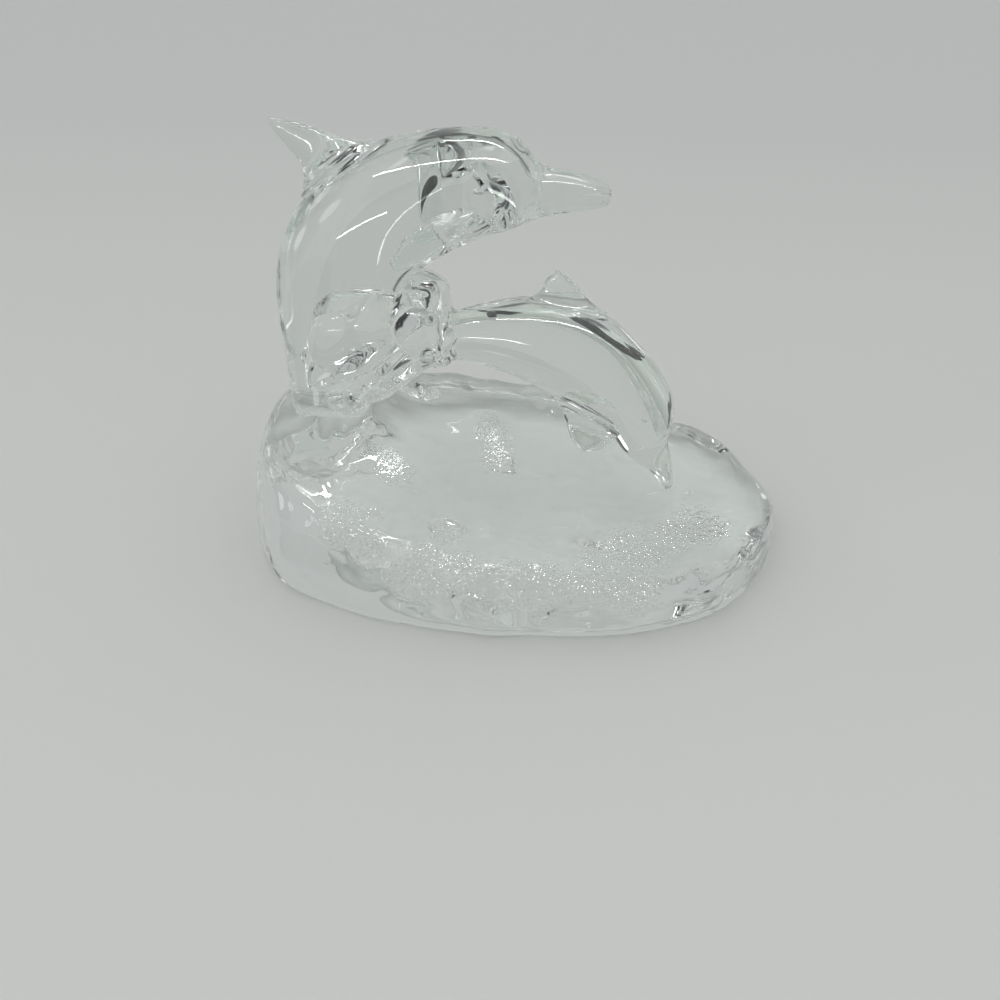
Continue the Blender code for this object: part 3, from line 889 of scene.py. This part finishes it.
bpy.ops.mesh.primitive_plane_add(size=FLOOR_SIZE, location=(0, 0, -FLOOR_GAP))
floor = bpy.context.object
floor.name = "floor"
paper = bpy.data.materials.new("pale matt paper")
paper.use_nodes = True
ground = paper.node_tree
paper_shader = ground.nodes["Principled BSDF"]
spot = node(ground, "ShaderNodeTexCoord").outputs["Object"]
parts = node(ground, "ShaderNodeSeparateXYZ", [(0, spot)])
distance = node(
    ground, "ShaderNodeMapRange", [(0, parts.outputs[1])], From_Min=PAPER_NEAR, From_Max=PAPER_FAR,
)
# Painted shade: the paper's colour goes darker towards the back, away from the light.
shade = node(
    ground, "ShaderNodeMix",
    [(0, distance.outputs[0]), (6, linear("F2F3F1")), (7, linear("E3E5E4"))], data_type="RGBA",
)
paper_shader.inputs["Roughness"].default_value = 0.9
paper_shader.inputs["Specular IOR Level"].default_value = 0.2
floor.data.materials.append(paper)
print(f"floor: {FLOOR_SIZE:.0f} m of {paper.name}")

# %% [markdown]
# A real table ends. Light that leaves the glass at a low angle runs past its edge into the
# room, and that is where many of the dark lines in clear glass come from. The floor here
# has no edge that a camera could see, so only rays that have been through the glass pass
# through the far part of it.
#
# A renderer can tell where a ray has been. It counts a camera ray as 1 and any other as 0,
# and it counts the matt surfaces that a ray has met, so a half parts no from yes.

# %% Let low rays run past the floor
HALF = 0.5
TABLE_MIDDLE = (25 * MM, 60 * MM, 0)
TABLE_REACH = 140 * MM
TABLE_EDGE = 12 * MM

journey = node(ground, "ShaderNodeLightPath")
apart = node(ground, "ShaderNodeVectorMath", [(0, spot), (1, TABLE_MIDDLE)], operation="DISTANCE")
far = node(
    ground, "ShaderNodeMapRange", [("Value", apart.outputs["Value"])],
    interpolation_type="SMOOTHSTEP", From_Min=TABLE_REACH, From_Max=TABLE_REACH + TABLE_EDGE,
)
bent = node(
    ground, "ShaderNodeMath", [(0, journey.outputs["Is Camera Ray"]), (1, HALF)], operation="LESS_THAN",
)
fresh = node(
    ground, "ShaderNodeMath", [(0, journey.outputs["Diffuse Depth"]), (1, HALF)], operation="LESS_THAN",
)
feeds = [(0, bent.outputs[0]), (1, fresh.outputs[0])]
from_glass = node(ground, "ShaderNodeMath", feeds, operation="MULTIPLY")
feeds = [(0, from_glass.outputs[0]), (1, far.outputs[0])]
open_share = node(ground, "ShaderNodeMath", feeds, operation="MULTIPLY")
print(f"rays from the glass pass the floor beyond {TABLE_REACH / MM:.0f} mm")

# %% [markdown]
# The darkest marks in clear glass come by long ways: light turns several times inside it
# before it leaves. A few near-black ovals of painted shade lie on the paper for such light
# to meet, and the glass shows them as painted dark marks. Only rays that have turned at
# least four times see them, and each oval has its own limit above that, so that it draws
# one mark and no others.

# %% Paint ovals of shade on the paper where long ways end
# Each is x, y, half its length along x and along y, in millimetres, and the most turns.
# Painted shade: near-black ovals on the paper, seen only by rays from the glass, as dark marks in it.
PAINTED_SHADE_OVALS = (
    (4.0, 26, 1.9, 10, 4),
    (6.2, 41, 2.2, 13, 4),
    (-30, 140, 42, 45, 30),
)
FEWEST_TURNS = 4
SPOT_EDGE = 0.85
PAINTED_SHADE_COLOUR = (0.02, 0.02, 0.022, 1)

turns_made = journey.outputs["Ray Depth"]
darkest = 0.0
for x, y, half_x, half_y, most in PAINTED_SHADE_OVALS:
    aside = node(ground, "ShaderNodeVectorMath", [(0, spot), (1, (x * MM, y * MM, 0))], operation="SUBTRACT")
    squeeze = (1 / half_x / MM, 1 / half_y / MM, 0)
    feeds = [(0, aside.outputs[0]), (1, squeeze)]
    scaled = node(ground, "ShaderNodeVectorMath", feeds, operation="MULTIPLY")
    steps = node(ground, "ShaderNodeVectorMath", [(0, scaled.outputs[0])], operation="LENGTH")
    inside = node(
        ground, "ShaderNodeMapRange", [("Value", steps.outputs["Value"])],
        interpolation_type="SMOOTHSTEP", From_Min=1.0, From_Max=SPOT_EDGE,
    )
    few = node(ground, "ShaderNodeMath", [(0, turns_made), (1, most + HALF)], operation="LESS_THAN")
    feeds = [(0, inside.outputs[0]), (1, few.outputs[0])]
    inside = node(ground, "ShaderNodeMath", feeds, operation="MULTIPLY")
    feeds = [(0, inside.outputs[0]), (1, darkest)]
    darkest = node(ground, "ShaderNodeMath", feeds, operation="MAXIMUM").outputs[0]
many = node(ground, "ShaderNodeMath", [(0, turns_made), (1, FEWEST_TURNS - HALF)], operation="GREATER_THAN")
feeds = [(0, many.outputs[0]), (1, fresh.outputs[0])]
many_and_fresh = node(ground, "ShaderNodeMath", feeds, operation="MULTIPLY")
feeds = [(0, darkest), (1, many_and_fresh.outputs[0])]
painted_shade_share = node(ground, "ShaderNodeMath", feeds, operation="MULTIPLY")
# The ovals' painted shade darkens the paper's colour.
feeds = [(0, painted_shade_share.outputs[0]), (6, shade.outputs[2]), (7, PAINTED_SHADE_COLOUR)]
paper_with_painted_shade = node(ground, "ShaderNodeMix", feeds, data_type="RGBA")
ground.links.new(paper_with_painted_shade.outputs[2], paper_shader.inputs["Base Color"])
print(f"dark ovals: {len(PAINTED_SHADE_OVALS)}")

# %% [markdown]
# The thick base gathers light from all round and hands it down to the paper, which lights
# it from below. A renderer finds such light slowly, so the paper glows a little beneath
# the base, for rays from the glass only. The glow is an oval like the base.

# %% Let the paper glow beneath the base
GLOW = 0.11
GLOW_FULL = 42 * MM
GLOW_FADES = 56 * MM
GLOW_SHAPE = (51 / 78, 1, 0)

oval = node(ground, "ShaderNodeVectorMath", [(0, spot), (1, GLOW_SHAPE)], operation="MULTIPLY")
away = node(ground, "ShaderNodeVectorMath", [(0, oval.outputs[0])], operation="LENGTH")
beneath = node(
    ground, "ShaderNodeMapRange", [("Value", away.outputs["Value"])],
    interpolation_type="SMOOTHSTEP", From_Min=GLOW_FADES, From_Max=GLOW_FULL, To_Max=GLOW,
)
feeds = [(0, beneath.outputs[0]), (1, from_glass.outputs[0])]
glow = node(ground, "ShaderNodeMath", feeds, operation="MULTIPLY")
light_share = node(ground, "ShaderNodeMath", [(0, 1.0), (1, painted_shade_share.outputs[0])], operation="SUBTRACT")
feeds = [(0, glow.outputs[0]), (1, light_share.outputs[0])]
glow = node(ground, "ShaderNodeMath", feeds, operation="MULTIPLY")
paper_shader.inputs["Emission Color"].default_value = (1, 1, 1, 1)
ground.links.new(glow.outputs[0], paper_shader.inputs["Emission Strength"])

clear = node(ground, "ShaderNodeBsdfTransparent")
feeds = [(0, open_share.outputs[0]), (1, paper_shader.outputs[0]), (2, clear.outputs[0])]
either = node(ground, "ShaderNodeMixShader", feeds)
ground.links.new(either.outputs[0], ground.nodes["Material Output"].inputs["Surface"])
print(f"paper: {len(ground.nodes)} nodes")

# %% [markdown]
# ## The room
#
# The walls are plain and a little lighter above than below. Dark and bright patches on
# them are what the clear glass shows as crisp marks. The camera itself sees plain walls.
#
# Light that has already touched the paper sees an even room, and sees it a little brighter
# when it has come through the glass. That keeps the floor free of speckle, because few
# rays would find a small bright patch through the glass by chance.

# %% Paint the room
EVEN_LIGHT = (0.59, 0.595, 0.59, 1)
THROUGH_LIGHT = (0.92, 0.93, 0.92, 1)
LOW_LIGHT = (0.48, 0.49, 0.483, 1)
HIGH_LIGHT = (0.50, 0.51, 0.505, 1)
DARK = (0.03, 0.03, 0.034, 1)
DIM = (0.10, 0.10, 0.106, 1)
BRIGHT = (2.6, 2.6, 2.63, 1)
# Each is its turn, rise, half width and soft edge in degrees, and its tone.
PATCHES = (
    (215, -38, 32, 3, DARK),
    (155, 10, 10, 3, DARK),
    (188, 10, 18, 3, DARK),
    (48, 8, 8, 3, DARK),
    (22, 12, 5, 3, DIM),
    (232, -40, 5, 2, BRIGHT),
    (184, 6, 5, 2, BRIGHT),
    (168, 22, 5, 2, BRIGHT),
    (205, 20, 5, 2, BRIGHT),
    (58, 2, 3, 2, BRIGHT),
)

world = bpy.data.worlds.new("soft room")
world.use_nodes = True
bpy.context.scene.world = world
room = world.node_tree
way = node(room, "ShaderNodeTexCoord").outputs["Generated"]
heights = node(room, "ShaderNodeSeparateXYZ", [(0, way)])
walls = node(room, "ShaderNodeValToRGB", [(0, heights.outputs[2])])
walls.color_ramp.elements[0].color = LOW_LIGHT
walls.color_ramp.elements[1].color = HIGH_LIGHT


def towards(turn, rise):
    """A direction from its compass turn from +X and its rise above level, in degrees."""
    turn, rise = math.radians(turn), math.radians(rise)
    return (math.cos(turn) * math.cos(rise), math.sin(turn) * math.cos(rise), math.sin(rise))


def patch(before, direction, half_width, soft_edge, colour):
    """A round patch of another tone in the room; the angles are in degrees."""
    near = node(room, "ShaderNodeVectorMath", [(0, way), (1, direction)], operation="DOT_PRODUCT")
    edge = node(
        room, "ShaderNodeMapRange", [("Value", near.outputs["Value"])], interpolation_type="SMOOTHSTEP",
        From_Min=math.cos(math.radians(half_width + soft_edge)), From_Max=math.cos(math.radians(half_width)),
    )
    feeds = [(0, edge.outputs[0]), (6, before), (7, colour)]
    return node(room, "ShaderNodeMix", feeds, data_type="RGBA").outputs[2]


painted = walls.outputs[0]
for turn, rise, half_width, soft_edge, colour in PATCHES:
    painted = patch(painted, towards(turn, rise), half_width, soft_edge, colour)
print(f"room: {len(PATCHES)} patches on plain walls")

# %% Say who sees which room
path = node(room, "ShaderNodeLightPath")
touched = node(
    room, "ShaderNodeMath", [(0, path.outputs["Diffuse Depth"]), (1, HALF)], operation="GREATER_THAN",
)
feeds = [(0, touched.outputs[0]), (1, path.outputs["Is Transmission Ray"])]
passed = node(room, "ShaderNodeMath", feeds, operation="MULTIPLY")
seen = painted
for share, tone in (
    (touched.outputs[0], EVEN_LIGHT), (passed.outputs[0], THROUGH_LIGHT),
    (path.outputs["Is Camera Ray"], walls.outputs[0]),
):
    seen = node(room, "ShaderNodeMix", [(0, share), (6, seen), (7, tone)], data_type="RGBA").outputs[2]
sky = room.nodes["Background"]
room.links.new(seen, sky.inputs["Color"])
sky.inputs["Strength"].default_value = 1.0
print(f"room: {len(room.nodes)} nodes")

# %% [markdown]
# ## The lights
#
# Three long thin lights draw the white lines in the glass. They leave the paper alone, as
# their own light would spread there as noise. One soft light, which the glass doesn't
# show, gives the paper its faint shadow.

# %% Hang the lights
LIGHTS_FACE = Vector((0, 0, 0.06))
SOFTBOX_WATTS = 0.25
# Each is its name, place and size in metres, and radiance.
STRIPS = (
    ("front strip", (0.0, -0.50, 1.0), (1.6, 0.025), 60),
    ("high strip", (0.1, 0.25, 1.2), (0.9, 0.03), 60),
    ("low strip", (-0.50, -1.02, 0.06), (0.40, 0.02), 40),
)


def hang(name, place, size, power):
    """A rectangular light at a place, turned to face the ornament."""
    light = bpy.data.lights.new(name, "AREA")
    light.shape = "RECTANGLE"
    light.size, light.size_y = size
    light.energy = power
    obj = bpy.data.objects.new(name, light)
    obj.location = place
    obj.rotation_euler = (LIGHTS_FACE - Vector(place)).to_track_quat("-Z", "Y").to_euler()
    bpy.context.scene.collection.objects.link(obj)
    return obj


def strip_light(name, place, size, radiance):
    """A thin light that draws white lines in the glass and leaves the floor alone."""
    strip = hang(name, place, size, radiance * math.pi * size[0] * size[1])
    strip.data.use_nodes = True
    tree = strip.data.node_tree
    depth = node(tree, "ShaderNodeLightPath").outputs["Diffuse Depth"]
    straight = node(tree, "ShaderNodeMath", [(0, depth), (1, HALF)], operation="LESS_THAN")
    tree.links.new(straight.outputs[0], tree.nodes["Emission"].inputs["Strength"])
    strip.visible_diffuse = False
    return strip


for strip in STRIPS:
    strip_light(*strip)
softbox = hang("softbox", (-0.3, -0.5, 0.9), (0.6, 0.6), SOFTBOX_WATTS)
softbox.visible_glossy = False
softbox.visible_transmission = False

# %% [markdown]
# ## The camera
#
# The camera looks down at the ornament from a little to the right of its middle. Light
# needs many turns on its way through a casting. With too few allowed, the thick parts
# would fill with black.

# %% Place the camera
CAMERA_PLACE = Vector((18.4, -247.0, 189.2)) * MM
CAMERA_DOWN = math.radians(36)
CAMERA_TURN = math.radians(5.2)
FOCAL_SHARE = 1.003
SENSOR_WIDTH = 36
CLIP_START = 5 * MM

right = Vector((math.cos(CAMERA_TURN), math.sin(CAMERA_TURN), 0))
level = Vector((-math.sin(CAMERA_TURN), math.cos(CAMERA_TURN), 0))
forward = level * math.cos(CAMERA_DOWN) - Vector((0, 0, math.sin(CAMERA_DOWN)))
upward = right.cross(forward)
aimed = Matrix((right, upward, -forward)).transposed().to_4x4()
camera = bpy.data.objects.new("camera", bpy.data.cameras.new("camera"))
camera.data.sensor_width = SENSOR_WIDTH
camera.data.lens = SENSOR_WIDTH * FOCAL_SHARE
camera.data.clip_start = CLIP_START
camera.matrix_world = Matrix.Translation(CAMERA_PLACE) @ aimed
scene = bpy.context.scene
scene.collection.objects.link(camera)
scene.camera = camera
scene.view_settings.view_transform = "Standard"
print("camera at", [round(v / MM, 1) for v in CAMERA_PLACE])

# %% Allow enough turns for the light
scene.cycles.max_bounces = 20
scene.cycles.transmission_bounces = 20
scene.cycles.glossy_bounces = 12
scene.cycles.diffuse_bounces = 4
print("turns allowed:", scene.cycles.max_bounces)
